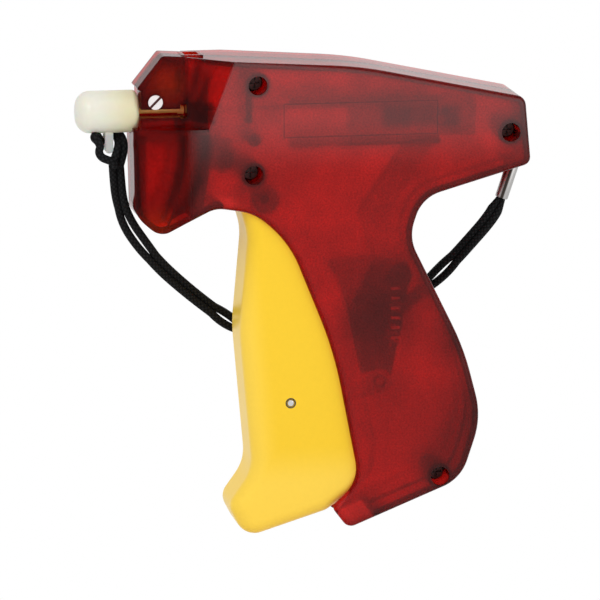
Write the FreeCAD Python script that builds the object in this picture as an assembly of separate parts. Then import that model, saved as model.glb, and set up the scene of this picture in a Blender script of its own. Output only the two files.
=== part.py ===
import FreeCAD, Part
import math
import os

# Garment tag attacher, in millimetres.
# Origin at the centre of the grip on the mid-plane, +X to the tail, +Z up, -Y is the left shell.
os.makedirs("parts", exist_ok=True)
V = FreeCAD.Vector

# Housing
body_length = 126.0
body_height = 151.0
body_width = 28.0
wall = 2.0
edge_round = 1.8
overrun = 8.0
fit_gap = 0.05
seat_gap = 0.3
head_gap = 0.1
same_point = 0.0005
parallel = 1e-9
block_margin = 1.8
block_corner_round = 3.6

# Nose and guard
nose_width = 15.0
nose_edge_cut = 1.3
guard_edge_cut = 1.6
ledge_wall = 4.0
guard_front_width = 17.0
panel_slope = 0.406

# Hardware
screw_head_radius = 2.4
screw_head_height = 1.8
screw_radius = 1.4
screw_recess_width = 0.7
screw_recess_reach = 1.8
screw_recess_depth = 1.0
screw_seat_depth = 9.3
screw_driver_gap = 0.6
screw_grip = 7.0
boss_wall = 0.9
pin_wall = 3.5
pin_reach = body_width / 2 - pin_wall
pivot_pin_radius = 1.5
lever_pin_radius = 2.0
pivot_boss_radius = 3.9
thread_clearance = 0.2
boss_clearance = 0.6

# Trigger and drive
trigger_side_gap = 0.3
trigger_width = body_width - 2 * (wall + trigger_side_gap)
trigger_wall = 2.2
trigger_front_wall = 2.6
trigger_round = 4.6
trigger_head_step = 3.7
trigger_head_width = trigger_width - 2 * trigger_head_step
trigger_head_drop = 9.0
trigger_swing = 17.0
link_pin_radius = 1.25
link_boss_radius = 3.2
lever_swing = 32.0
lever_lean = 8.0
lever_thickness = 5.0
lever_hub_radius = 5.4
lever_neck_radius = 5.1
lever_elbow_share = 0.38
lever_end_radius = 4.0
lever_tip_radius = 3.4
lever_elbow_radius = 4.2
lever_elbow_back = 6.5
link_cheek = 2.0
link_height = 5.0
link_slack = 0.55
link_web_shares = (0.2, 0.55)
side_gap = 0.5

# Slide and plunger
slide_side_room = 5.0
slide_width = body_width - 2 * slide_side_room
slide_height = 10.9
slide_length = 38.0
slide_front = 0.0
slide_slot_play = 0.25
lever_room = 6.5
lever_front_room = 8.5
rail_thickness = 1.7
rail_reach = 5.0
rail_front_share = -0.172
rail_back_share = 0.205
rod_radius = 0.65
rod_embed = 6.0
rod_play = 0.35
guide_thickness = 2.0
guide_below = 3.0
guide_above = 6.0

# Needle, channel and cutter
needle_radius = 1.0
needle_bore_radius = 0.7
needle_slot = 0.6
needle_length = 29.6
needle_bevel = 3.0
groove_below = 1.3
groove_above = 1.4
collar_radius = 1.35
collar_length = 1.8
fin_height = 2.5
fin_thickness = 0.8
blade_size = (3.6, 4.0, 0.6)
channel_width = 4.6
channel_depth = 6.0
channel_wall = 2.0
channel_bend_radius = 72.0
lip_height = 0.4
lip_wall = 1.2
lock_head_radius = 2.3
lock_head_height = 1.0
lock_shank_radius = 1.5
lock_slot = 0.8
lock_slot_depth = 0.7
lock_slot_angle = 45.0
lock_reach = 5.0

# Feed wheel
wheel_radius = 6.5
wheel_root_radius = 5.0
wheel_thickness = 3.0
wheel_teeth = 8
axle_radius = 1.2
axle_boss_radius = 2.8
pawl_pin_radius = 0.8
pawl_hub_radius = 2.0
pawl_nose_radius = 0.6
leaf_thickness = 0.4
leaf_length = 4.8
pawl_bite_share = 0.75

# Return spring
spring_radius = 1.9
spring_wire = 0.9
spring_turns = 5
spring_pitch = 2.4
peg_radius = 1.2
peg_reach = 7.6
spring_offset = 5.4

# Needle cap, lug and wrist cord
cap_radius = 6.7
cap_length = 19.6
cap_front_round = 4.6
cap_back_round = 1.8
cap_bore_radius = 1.3
cap_bore_length = 16.0
cap_gap = 0.3
lug_width = 2.6
lug_depth = 5.4
lug_length = 6.2
lug_round = 1.2
lug_eye_radius = 1.75
strand_radius = 1.3
hitch_radius = 3.3
cord_radius = 2.4
ferrule_radius = 2.1
ferrule_bore_radius = 1.6
ferrule_bore_depth = 4.0
ferrule_pad = 4.8
ferrule_pad_top = 1.2
cord_trim_share = 0.45
ferrule_length = 13.8

# Outline of the housing: shares of the body length, the body height and, for the rounds, the height
housing_shares = [
    (-0.491, 0.693, 0.010), (0.000, 0.667, 0.800), (0.423, 0.593, 0.022), (0.4385, 0.452, 0.018),
    (0.160, 0.385, 0.075), (0.127, 0.301, 0.086), (0.269, 0.061, 0.550), (0.316, -0.089, 0.170),
    (0.264, -0.2215, 0.090), (-0.028, -0.3195, 0.021), (-0.071, -0.272, 0.014), (0.001, -0.2186, 0.075),
    (-0.0646, 0.0629, 0.800), (-0.1786, 0.2985, 0.230), (-0.2667, 0.3623, 0.110), (-0.365, 0.376, 0.060),
    (-0.505, 0.3180, 0.034), (-0.562, 0.358, 0.050), (-0.570, 0.543, 0.005), (-0.546, 0.543, 0.002),
    (-0.546, 0.621, 0.002), (-0.556, 0.625, 0.003),
]
# Outline of the trigger in the same shares
trigger_shares = [
    (-0.206, 0.404, 0.020), (-0.170, 0.372, 0.030), (-0.038, 0.212, 0.100), (0.050, -0.132, 0.060),
    (0.042, -0.205, 0.040), (-0.006, -0.245, 0.030), (-0.080, -0.285, 0.030), (-0.286, -0.338, 0.042),
    (-0.331, -0.266, 0.034), (-0.268, -0.192, 0.090), (-0.300, 0.106, 0.350), (-0.278, 0.311, 0.120),
    (-0.310, 0.404, 0.018),
]
# Outline of the web that stiffens the lever's lower arm, in the same shares
lever_web_shares = [
    (-0.068, 0.246, 0.016), (0.118, 0.250, 0.020), (0.126, 0.100, 0.080), (0.090, -0.010, 0.020),
    (0.036, -0.022, 0.020), (0.004, 0.060, 0.120), (-0.022, 0.155, 0.200),
]
# Places as shares of the body length and height
trigger_pivot_share = (-0.238, 0.391)
link_pin_share = (-0.174, -0.046)
lever_pivot_share = (0.103, 0.2185)
drive_pin_share = 0.547
rod_height_share = 0.573
ledge_share = 0.543
crease_share = -0.429
guard_top_share = 0.517
panel_corner_share = -0.381
arch_opening_share = -0.345
trigger_round_share = -0.21
slot_floor_share = 0.040
channel_share = -0.4127
channel_bend_share = 0.503
wheel_share = (-0.340, 0.477)
pawl_share = (-0.266, 0.517)
lock_share = (-0.511, 0.598)
lug_share = -0.6215
case_screw_shares = [(-0.2595, 0.633), (-0.270, 0.4445), (0.385, 0.520), (0.207, -0.2122)]
nose_pocket_shares = [(-0.536, 0.624, 0.004), (-0.492, 0.675, 0.004), (-0.452, 0.671, 0.004),
                      (-0.452, 0.624, 0.004)]
ferrule_end_share = (0.3841, 0.3656)
ferrule_top_share = (0.4198, 0.4543)
upper_peg_share = (0.104, 0.1755)
lower_peg_share = (0.088, 0.050)

# Route of the doubled wrist cord, from the ferrule down behind the grip and up to the cap
cord_route = [
    (48.4, 0.0, 55.2), (46.4, 0.3, 51.0), (43.7, 1.8, 46.6), (40.0, 4.9, 41.2), (35.4, 10.0, 34.1),
    (29.6, 16.6, 25.9), (21.1, 19.8, 17.7), (9.7, 20.3, 10.7), (-3.5, 20.0, 6.3), (-16.8, 19.0, 5.9),
    (-27.8, 17.4, 8.9), (-37.4, 15.0, 14.8), (-46.5, 12.2, 22.0), (-54.5, 9.6, 29.0), (-61.2, 7.2, 35.5),
    (-66.9, 5.2, 42.5), (-72.0, 4.3, 50.1), (-74.5, 2.6, 58.3), (-75.3, 1.2, 64.9), (-75.7, 0.4, 69.7),
]

# Values worked out from the sizes above
half_body = body_width / 2
half_nose = nose_width / 2
half_trigger = trigger_width / 2
half_head = trigger_head_width / 2
half_lever = lever_thickness / 2
half_slide = slide_width / 2


def place(share):
    return (share[0] * body_length, share[1] * body_height)


def outline_points(shares):
    return [(x * body_length, z * body_height, r * body_height) for x, z, r in shares]


TP = place(trigger_pivot_share)
LP = place(lever_pivot_share)
LINK_A = place(link_pin_share)
WHEEL = place(wheel_share)
PAWL = place(pawl_share)
LOCK = place(lock_share)
drive_pin_z = drive_pin_share * body_height
rod_z = rod_height_share * body_height
ledge_z = ledge_share * body_height
crease_x = crease_share * body_length
panel_corner_x = panel_corner_share * body_length
channel_x = channel_share * body_length
nose_front_x = housing_shares[19][0] * body_length
half_swing = math.radians(lever_swing / 2)
upper_arm = (drive_pin_z - LP[1]) / math.cos(half_swing)
stroke = 2 * upper_arm * math.sin(half_swing)
DRIVE = (LP[0] + upper_arm * math.sin(half_swing), drive_pin_z)
trigger_arm = math.dist(TP, LINK_A)
lower_arm = trigger_arm * math.sin(math.radians(trigger_swing / 2)) / math.sin(half_swing)
lean = math.radians(lever_lean)
LINK_B = (LP[0] - lower_arm * math.sin(lean), LP[1] - lower_arm * math.cos(lean))
screw_hole_radius = screw_head_radius + screw_driver_gap
screw_boss_radius = screw_hole_radius + boss_wall
slide_z0 = rod_z - slide_height + 2 * rod_radius + 2 * seat_gap
needle_back_x = channel_x - channel_width / 2


def cylinder_y(centre, radius, y0, y1):
    low = min(y0, y1)
    return Part.makeCylinder(radius, abs(y1 - y0), V(centre[0], low, centre[1]), V(0, 1, 0))


def cylinder_x(y, z, radius, x0, x1):
    return Part.makeCylinder(radius, x1 - x0, V(x0, y, z), V(1, 0, 0))


def block(x0, x1, y0, y1, z0, z1):
    low = V(min(x0, x1), min(y0, y1), min(z0, z1))
    return Part.makeBox(abs(x1 - x0), abs(y1 - y0), abs(z1 - z0), low)


def union(shapes):
    result = shapes[0].fuse(shapes[1:]) if len(shapes) > 1 else shapes[0]
    return result.removeSplitter()


def unit(dx, dz):
    size = math.hypot(dx, dz)
    return dx / size, dz / size


def rounded_face(points):
    """A face in the XZ plane from corners (x, z, round radius)."""
    count = len(points)
    corners = []
    for i in range(count):
        x, z, r = points[i]
        px, pz, _ = points[i - 1]
        nx, nz, _ = points[(i + 1) % count]
        ax, az = unit(px - x, pz - z)
        bx, bz = unit(nx - x, nz - z)
        if r <= 0:
            corners.append(((x, z), None, (x, z)))
            continue
        half = math.acos(max(-1.0, min(1.0, ax * bx + az * bz))) / 2
        t = r / math.tan(half)
        mx, mz = unit(ax + bx, az + bz)
        depth = r / math.sin(half) - r
        middle = (x + mx * depth, z + mz * depth)
        corners.append(((x + ax * t, z + az * t), middle, (x + bx * t, z + bz * t)))
    edges = []
    for i in range(count):
        start, middle, end = corners[i]
        if middle is not None:
            bend = [V(start[0], 0, start[1]), V(middle[0], 0, middle[1]), V(end[0], 0, end[1])]
            edges.append(Part.Arc(*bend).toShape())
        after = corners[(i + 1) % count][0]
        if math.dist(end, after) > same_point:
            edges.append(Part.LineSegment(V(end[0], 0, end[1]), V(after[0], 0, after[1])).toShape())
    return Part.Face(Part.Wire(edges))


def prism(points, y0, y1):
    low, high = min(y0, y1), max(y0, y1)
    face = rounded_face(points)
    face.translate(V(0, low, 0))
    return face.extrude(V(0, high - low, 0))


def inset(points, walls):
    """Corners of an outline moved inwards; walls[i] is the wall of the edge from corner i to the next.
    Corners run clockwise as seen from -Y, so inwards is to the right of each edge."""
    count = len(points)
    lines = []
    for i in range(count):
        x0, z0, _ = points[i]
        x1, z1, _ = points[(i + 1) % count]
        dx, dz = unit(x1 - x0, z1 - z0)
        lines.append((x0 + dz * walls[i], z0 - dx * walls[i], dx, dz))
    moved = []
    for i in range(count):
        ax, az, adx, adz = lines[i - 1]
        bx, bz, bdx, bdz = lines[i]
        cross = adx * bdz - adz * bdx
        t = ((bx - ax) * bdz - (bz - az) * bdx) / cross
        inside = points[i][2] - walls[i] if cross < 0 else points[i][2] + walls[i]
        moved.append((ax + adx * t, az + adz * t, max(inside, 0)))
    return moved


def bar(p, radius_p, q, radius_q, y0, y1):
    """A tapered bar between two round ends."""
    dx, dz = unit(q[0] - p[0], q[1] - p[1])
    corners = [(p[0] - dz * radius_p, p[1] + dx * radius_p, 0),
               (q[0] - dz * radius_q, q[1] + dx * radius_q, 0),
               (q[0] + dz * radius_q, q[1] - dx * radius_q, 0),
               (p[0] + dz * radius_p, p[1] - dx * radius_p, 0)]
    return union([prism(corners, y0, y1), cylinder_y(p, radius_p, y0, y1), cylinder_y(q, radius_q, y0, y1)])


def save(name, shape):
    shape = shape.removeSplitter() if len(shape.Solids) == 1 else shape
    solids = shape.Solids
    result = solids[0] if len(solids) == 1 else Part.makeCompound(solids)
    result.exportStep("parts/" + name + ".step")
    print(name, "solids", len(solids), "valid", shape.isValid(), "volume", round(shape.Volume, 1))


def plan_wire(corners, side, z):
    points = [V(x, side * y, z) for x, y in corners]
    return Part.makePolygon(points + [points[0]])


def upper_shoulder(side, inward):
    """What is cut away beside the nose, above the ledge, out to the slanted edge of the side panel."""
    drop = ledge_z - ledge_wall if inward else ledge_z
    top = housing_shares[0][1] * body_height + overrun
    front = nose_front_x - overrun
    wires = []
    for z in (drop, top):
        panel_x = panel_corner_x + panel_slope * (z - ledge_z) + inward
        fold_x = crease_x + inward / 2
        y = half_nose - inward
        reach = (half_body + overrun - half_nose) / (half_body - half_nose)
        far_x = fold_x + (panel_x - fold_x) * reach
        far_y = y + (half_body - half_nose) * reach
        wires.append(plan_wire([(front, y), (fold_x, y), (far_x, far_y), (front, far_y)], side, z))
    return Part.makeLoft(wires, True, True)


def lower_shoulder(side, inward):
    """What is cut away beside the guard, which narrows to the front on one arc in plan."""
    start = panel_corner_x
    end = nose_front_x - overrun
    run = start - housing_shares[18][0] * body_length
    drop = half_body - guard_front_width / 2
    radius = (run * run + drop * drop) / (2 * drop)
    far = half_body + overrun

    def arc_point(x):
        return half_body - inward - (radius - math.sqrt(radius * radius - (start - x) ** 2))

    low = housing_shares[16][1] * body_height - overrun
    curve = [V(x, side * arc_point(x), low) for x in (start, (start + end) / 2, end)]
    arc = Part.Arc(*curve).toShape()
    corners = [(end, arc_point(end)), (end, far), (start, far), (start, arc_point(start))]
    rest = Part.makePolygon([V(x, side * y, low) for x, y in corners])
    face = Part.Face(Part.Wire([arc] + rest.Edges))
    return face.extrude(V(0, 0, ledge_z - low))


def cavity_points():
    """The hollow inside the walls: open along the trigger, closed elsewhere."""
    outer = outline_points(housing_shares)
    opening_x = arch_opening_share * body_length
    guard_top = guard_top_share * body_height
    back_x = channel_x + channel_width / 2 + channel_wall
    bottom = outer[9]
    slope = (outer[8][1] - bottom[1]) / (outer[8][0] - bottom[0])
    guard_slope = (outer[15][1] - outer[16][1]) / (outer[15][0] - outer[16][0])
    front_low = (opening_x, bottom[1] + slope * (opening_x - bottom[0]), 0)
    front_high = (opening_x, outer[15][1] + guard_slope * (opening_x - outer[15][0]), 0)
    front_x = outer[18][0]
    top_slope = (outer[1][1] - outer[0][1]) / (outer[1][0] - outer[0][0])
    loop = [(back_x, outer[0][1] + top_slope * (back_x - outer[0][0]), 0)] + outer[1:9]
    loop = loop + [front_low, front_high, outer[16], outer[17]]
    loop = loop + [(front_x, guard_top, 0), (back_x, guard_top, 0)]
    walls = [wall] * 9 + [0, wall, wall, wall, 0, 0]
    return inset(loop, walls)


def channel_band(margin, y0, y1):
    """The clip channel: straight down from the inlet, then on an arc to the guard's underside."""
    half = channel_width / 2 + margin
    bend_z = channel_bend_share * body_height
    top = housing_shares[0][1] * body_height + overrun
    straight = block(channel_x - half, channel_x + half, y0, y1, bend_z, top)
    centre = (channel_x - channel_bend_radius, bend_z)
    ring = cylinder_y(centre, channel_bend_radius + half, y0, y1)
    ring = ring.cut(cylinder_y(centre, channel_bend_radius - half, y0, y1))
    low = housing_shares[16][1] * body_height - overrun
    window = block(channel_x - channel_bend_radius, channel_x + overrun, y0, y1, low, bend_z)
    return straight.fuse(ring.common(window)).removeSplitter()


def side_edges(shape, y, keep):
    chosen = []
    for edge in shape.Edges:
        flat = all(abs(v.Point.y - y) < fit_gap for v in edge.Vertexes)
        middle = edge.valueAt((edge.FirstParameter + edge.LastParameter) / 2)
        if flat and abs(middle.y - y) < fit_gap and keep(middle):
            chosen.append(edge)
    return chosen


def corner_strip(start, end, side, y, size):
    """What is cut from an edge at the side of the nose or guard to bevel it, from one corner to the next."""
    dx, dz = unit(end[0] - start[0], end[1] - start[1])
    length = math.dist(start[:2], end[:2])
    x, z = start[0] - dx * size, start[1] - dz * size
    points = [V(x + dz * size, side * y, z - dx * size), V(x, side * (y - size), z),
              V(x - dz * size, side * (y + size), z + dx * size)]
    face = Part.Face(Part.makePolygon(points + [points[0]]))
    return face.extrude(V(dx, 0, dz) * (length + size))


def outer_half(side):
    """The rounded body block, trimmed to the nose's profile and cut away beside the nose and the guard."""
    corners = outline_points(housing_shares)
    top_front = (corners[18][0], corners[0][1] + block_margin, block_corner_round)
    least = edge_round + seat_gap
    rounds = [(x, z, max(r, least)) for x, z, r in [top_front] + corners[1:18]]
    body = prism(rounds, 0, side * half_body)
    body = body.makeFillet(edge_round, side_edges(body, side * half_body, lambda middle: True))
    shape = body.common(prism(corners, 0, side * half_body))
    shape = shape.cut([upper_shoulder(side, 0), lower_shoulder(side, 0)])
    slope = (corners[1][1] - corners[0][1]) / (corners[1][0] - corners[0][0])
    crease = (crease_x, corners[0][1] + slope * (crease_x - corners[0][0]))
    half_front = guard_front_width / 2
    return shape.cut([corner_strip(corners[21], corners[0], side, half_nose, nose_edge_cut),
                      corner_strip(corners[0], crease, side, half_nose, nose_edge_cut),
                      corner_strip(corners[17], corners[18], side, half_front, guard_edge_cut)])


def ribs(side):
    """Bosses, rails and guides that stand inside a shell, from its wall towards the mid-plane."""
    deep = side * (half_body - wall / 2)
    shapes = []
    for share in case_screw_shares:
        shapes.append(cylinder_y(place(share), screw_boss_radius, 0, deep))
    shapes.append(cylinder_y(TP, pivot_boss_radius, side * (half_head + seat_gap), deep))
    shapes.append(cylinder_y(LP, pivot_boss_radius, side * (half_lever + side_gap), deep))
    shapes.append(cylinder_y(WHEEL, axle_boss_radius, side * (wheel_thickness / 2 + side_gap), deep))
    shapes.append(cylinder_y(PAWL, pawl_hub_radius, side * (wheel_thickness / 2 + side_gap), deep))
    rail_x0 = rail_front_share * body_length
    rail_x1 = rail_back_share * body_length
    for z in (slide_z0 - seat_gap - rail_thickness, slide_z0 + slide_height + seat_gap):
        shapes.append(block(rail_x0, rail_x1, side * rail_reach, deep, z, z + rail_thickness))
    guide_x = WHEEL[0] + wheel_radius
    shapes.append(block(guide_x, guide_x + guide_thickness, 0, deep, rod_z - guide_below,
                        rod_z + guide_above))
    top = place(ferrule_top_share)
    shapes.append(block(top[0] - ferrule_pad, top[0] + ferrule_pad, 0, side * ferrule_pad,
                        top[1] - ferrule_pad, top[1] + ferrule_pad_top))
    if side < 0:
        peg = place(upper_peg_share)
        shapes.append(cylinder_y(peg, peg_radius, -(spring_offset - spring_radius), deep))
    shapes.append(channel_band(channel_wall, 0, deep))
    return shapes


def ferrule_solid(radius, start, length):
    end = place(ferrule_end_share)
    top = place(ferrule_top_share)
    dx, dz = unit(top[0] - end[0], top[1] - end[1])
    base = V(end[0] + dx * start, 0, end[1] + dz * start)
    return Part.makeCylinder(radius, length, base, V(dx, 0, dz))


def nose_cuts(side):
    """Groove, pockets and holes of the nose, which both shells share across the mid-plane."""
    back = needle_back_x
    far = -(half_nose + overrun)
    cuts = [block(nose_front_x - overrun, back, far, needle_radius + seat_gap, rod_z - groove_below,
                  rod_z + groove_above)]
    cuts.append(block(back - collar_length - seat_gap, back, far, collar_radius + seat_gap,
                      rod_z - collar_radius - seat_gap, rod_z + fin_height + seat_gap))
    cuts.append(cylinder_y(LOCK, lock_shank_radius + fit_gap, far, lock_reach + seat_gap))
    pocket = prism(outline_points(nose_pocket_shares), side * side_gap, side * (half_nose - wall))
    cuts.append(pocket)
    guide_back = WHEEL[0] + wheel_radius + guide_thickness
    cuts.append(cylinder_x(0, rod_z, rod_radius + rod_play, back - wall, guide_back + overrun))
    cuts.append(cylinder_x(0, rod_z, cap_radius + seat_gap, nose_front_x - overrun, nose_front_x))
    cuts.append(blade_block())
    return cuts


def blade_block():
    length, width, thick = blade_size
    top = rod_z - collar_radius - seat_gap
    return block(needle_back_x - length, needle_back_x, -width / 2, width / 2, top - thick, top)


def lip(side):
    """The raised rim round the clip inlet on top of the nose."""
    half = channel_width / 2 + lip_wall
    outer = outline_points(housing_shares)
    slope = (outer[1][1] - outer[0][1]) / (outer[1][0] - outer[0][0])
    top = outer[0][1] + slope * (channel_x - outer[0][0])
    depth = channel_depth / 2 + lip_wall
    return block(channel_x - half, channel_x + half, 0, side * depth, top - wall, top + lip_height)


def housing_shell(side):
    outer = outer_half(side)
    hollow = prism(cavity_points(), 0, side * (half_body - wall))
    hollow = hollow.cut(upper_shoulder(side, wall))
    hollow = hollow.cut(lower_shoulder(side, wall))
    shell = outer.cut(hollow)
    stands = [outer.common(rib) for rib in ribs(side)]
    shell = union([shell, lip(side)] + stands)
    cuts = nose_cuts(side)
    low = housing_shares[9][1] * body_height
    cuts.append(block(housing_shares[10][0] * body_length - overrun, slot_floor_share * body_length, 0,
                      side * (half_body - wall), low - overrun, low + overrun))
    cuts.append(channel_band(0, 0, side * channel_depth / 2))
    cuts.append(block(WHEEL[0] - wheel_radius - seat_gap, WHEEL[0] + wheel_radius + seat_gap, 0,
                      side * (wheel_thickness / 2 + side_gap), WHEEL[1] - wheel_radius - seat_gap,
                      WHEEL[1] + wheel_radius + seat_gap))
    cuts.append(ferrule_solid(ferrule_radius, 0, ferrule_length))
    cuts.append(cylinder_y(TP, pivot_pin_radius, 0, side * pin_reach))
    cuts.append(cylinder_y(LP, lever_pin_radius, 0, side * pin_reach))
    cuts.append(cylinder_y(WHEEL, axle_radius, 0, side * (pin_reach - wall)))
    cuts.append(cylinder_y(PAWL, pawl_pin_radius, 0, side * (pin_reach - wall)))
    for share in case_screw_shares:
        centre = place(share)
        seat = half_body - screw_seat_depth
        if side < 0:
            cuts.append(cylinder_y(centre, screw_hole_radius, -seat, -half_body - overrun))
            cuts.append(cylinder_y(centre, screw_radius + thread_clearance, 0, -seat))
        else:
            cuts.append(cylinder_y(centre, screw_radius, 0, screw_grip))
    return shell.cut(cuts)


def case_screws():
    screws = []
    seat = -(half_body - screw_seat_depth)
    for share in case_screw_shares:
        centre = place(share)
        head = cylinder_y(centre, screw_head_radius, seat - screw_head_height, seat)
        shank = cylinder_y(centre, screw_radius, seat, screw_grip)
        screw = union([head, shank])
        half = screw_recess_width / 2
        top = seat - screw_head_height - overrun
        floor = seat - screw_head_height + screw_recess_depth
        x, z = centre
        cross = [block(x - screw_recess_reach, x + screw_recess_reach, top, floor, z - half, z + half),
                 block(x - half, x + half, top, floor, z - screw_recess_reach, z + screw_recess_reach)]
        screws.append(screw.cut(cross))
    return Part.makeCompound(screws)


def trigger():
    """A hollow shell, open at the back, with a solid head round its pivot and bosses for the link's pin."""
    outline = outline_points(trigger_shares)
    shape = prism(outline, -half_trigger, half_trigger)
    front_x = trigger_round_share * body_length
    bottom_z = outline[6][1]

    def at_front(m):
        return m.x < front_x or m.z < bottom_z

    edges = side_edges(shape, half_trigger, at_front) + side_edges(shape, -half_trigger, at_front)
    shape = shape.makeFillet(trigger_round, edges)
    walls = [-overrun] * 4 + [trigger_wall] * 3 + [trigger_front_wall] * 5 + [trigger_wall]
    inner = [(x, z, 0) for x, z, r in inset(outline, walls)]
    inner_half = half_trigger - trigger_wall
    hollow = prism(inner, -inner_half, inner_half)
    head_z = TP[1] - trigger_head_drop
    head_zone = block(outline[12][0] - overrun, overrun, -inner_half, inner_half, head_z, TP[1] + overrun)
    shape = shape.cut(hollow.cut(head_zone))
    cheek = half_lever + side_gap + link_cheek + seat_gap
    far = half_trigger + overrun
    for side in (-1, 1):
        ring = pivot_boss_radius + boss_clearance
        shape = shape.cut(cylinder_y(TP, ring, side * half_head, side * far))
        deep = inner_half + trigger_wall / 2
        shape = shape.fuse(cylinder_y(LINK_A, link_boss_radius, side * cheek, side * deep))
    shape = shape.cut([cylinder_y(TP, pivot_pin_radius + fit_gap, -half_head, half_head),
                       cylinder_y(LINK_A, link_pin_radius, -far, far)])
    return shape.removeSplitter()


def drive_lever():
    elbow = (LP[0] - lever_elbow_back, LP[1] + (DRIVE[1] - LP[1]) * lever_elbow_share)
    low = bar(LP, lever_hub_radius, LINK_B, lever_end_radius, -half_lever, half_lever)
    middle = bar(LP, lever_neck_radius, elbow, lever_elbow_radius, -half_lever, half_lever)
    high = bar(elbow, lever_elbow_radius, DRIVE, lever_tip_radius, -half_lever, half_lever)
    peg = cylinder_y(place(lower_peg_share), peg_radius, -half_lever, -peg_reach)
    web = prism(outline_points(lever_web_shares), -half_lever, half_lever)
    shape = union([low, middle, high, web, peg])
    return shape.cut([cylinder_y(LP, lever_pin_radius + fit_gap, -half_lever, half_lever),
                      cylinder_y(DRIVE, pivot_pin_radius, -half_lever, half_lever),
                      cylinder_y(LINK_B, pivot_pin_radius, -half_lever, half_lever)])


def drive_link():
    inner = half_lever + side_gap
    outer = inner + link_cheek
    end_radius = pivot_pin_radius + link_slack + link_cheek
    start_radius = link_pin_radius + link_cheek
    cheeks = [bar(LINK_A, start_radius, LINK_B, end_radius, side * inner, side * outer) for side in (-1, 1)]
    ax, az = LINK_A
    dx, dz = unit(LINK_B[0] - ax, LINK_B[1] - az)
    length = math.dist(LINK_A, LINK_B)
    start, stop = [length * share for share in link_web_shares]
    half = link_height / 2
    corners = [(ax + dx * start - dz * half, az + dz * start + dx * half, 0),
               (ax + dx * stop - dz * half, az + dz * stop + dx * half, 0),
               (ax + dx * stop + dz * half, az + dz * stop - dx * half, 0),
               (ax + dx * start + dz * half, az + dz * start - dx * half, 0)]
    web = prism(corners, -outer, outer)
    shape = union(cheeks + [web])
    return shape.cut([cylinder_y(LINK_A, link_pin_radius + fit_gap, -outer, outer),
                      cylinder_y(LINK_B, pivot_pin_radius + link_slack, -outer, outer)])


def slide_block():
    shape = block(slide_front, slide_front + slide_length, -half_slide, half_slide, slide_z0,
                  slide_z0 + slide_height)
    lift = upper_arm * (1 - math.cos(half_swing))
    play = pivot_pin_radius + slide_slot_play
    half_window = half_lever + side_gap
    cuts = [block(DRIVE[0] - lever_front_room, DRIVE[0] + lever_room, -half_window, half_window,
                  slide_z0 - overrun, slide_z0 + slide_height + overrun),
            block(DRIVE[0] - play, DRIVE[0] + play, -half_slide - overrun, half_slide + overrun,
                  DRIVE[1] - play, DRIVE[1] + lift + play),
            cylinder_x(0, rod_z, rod_radius, slide_front - overrun, slide_front + rod_embed)]
    pocket_x0 = slide_front + rod_embed + wall
    pocket_x1 = DRIVE[0] - lever_front_room - wall
    for side in (-1, 1):
        cuts.append(block(pocket_x0, pocket_x1, side * half_slide / 2, side * (half_slide + overrun),
                          slide_z0 + wall, slide_z0 + slide_height - wall))
    return shape.cut(cuts)


def needle():
    back = needle_back_x
    tip = back - needle_length
    shape = cylinder_x(0, rod_z, needle_radius, tip, back)
    shape = shape.cut([cylinder_x(0, rod_z, needle_bore_radius, tip - overrun, back + overrun),
                       block(tip - overrun, back + overrun, -needle_slot / 2, needle_slot / 2,
                             rod_z - overrun, rod_z)])
    bevel = [(tip - overrun, rod_z + needle_radius, 0), (tip, rod_z + needle_radius, 0),
             (tip + needle_bevel, rod_z - needle_radius, 0), (tip + needle_bevel, rod_z - overrun, 0),
             (tip - overrun, rod_z - overrun, 0)]
    return shape.cut(prism(bevel, -overrun, overrun))


def needle_collar():
    back = needle_back_x
    ring = cylinder_x(0, rod_z, collar_radius, back - collar_length, back)
    fin_x = back - collar_length
    fin = block(fin_x, fin_x + fin_thickness, -needle_radius, needle_radius, rod_z, rod_z + fin_height)
    return union([ring, fin]).cut(cylinder_x(0, rod_z, needle_radius, back - overrun, back + overrun))


def lock_screw():
    head_face = -(half_nose + head_gap)
    head = cylinder_y(LOCK, lock_head_radius, head_face - lock_head_height, head_face)
    shank = cylinder_y(LOCK, lock_shank_radius, head_face, lock_reach)
    shape = union([head, shank])
    half = lock_slot / 2
    floor = head_face - lock_head_height + lock_slot_depth
    slot = block(LOCK[0] - overrun, LOCK[0] + overrun, head_face - overrun, floor, LOCK[1] - half,
                 LOCK[1] + half)
    slot.rotate(V(LOCK[0], 0, LOCK[1]), V(0, 1, 0), -lock_slot_angle)
    return shape.cut(slot)


def feed_wheel():
    points = []
    for i in range(wheel_teeth):
        turn = 2 * math.pi * i / wheel_teeth
        nxt = turn + 2 * math.pi / wheel_teeth
        for radius, angle in ((wheel_radius, turn), (wheel_root_radius, nxt)):
            points.append((WHEEL[0] + radius * math.cos(angle), WHEEL[1] + radius * math.sin(angle), 0))
    half = wheel_thickness / 2
    return prism(points, -half, half).cut(cylinder_y(WHEEL, axle_radius + fit_gap, -half, half))


def feed_pawl():
    half = wheel_thickness / 2
    turn = pawl_bite_share * 2 * math.pi / wheel_teeth
    reach = wheel_radius + pawl_nose_radius
    nose = (WHEEL[0] + reach * math.cos(turn), WHEEL[1] + reach * math.sin(turn))
    shape = bar(PAWL, pawl_hub_radius, nose, pawl_nose_radius, -half, half)
    return shape.cut(cylinder_y(PAWL, pawl_pin_radius + fit_gap, -half, half))


def pawl_spring():
    """A leaf pressed on the pawl's back, with its root against the rod guide rib."""
    half = wheel_thickness / 2
    x0 = WHEEL[0] + wheel_radius + guide_thickness
    z0 = PAWL[1] + pawl_hub_radius + seat_gap
    return block(x0, x0 + leaf_length, -half, half, z0, z0 + leaf_thickness)


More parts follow.
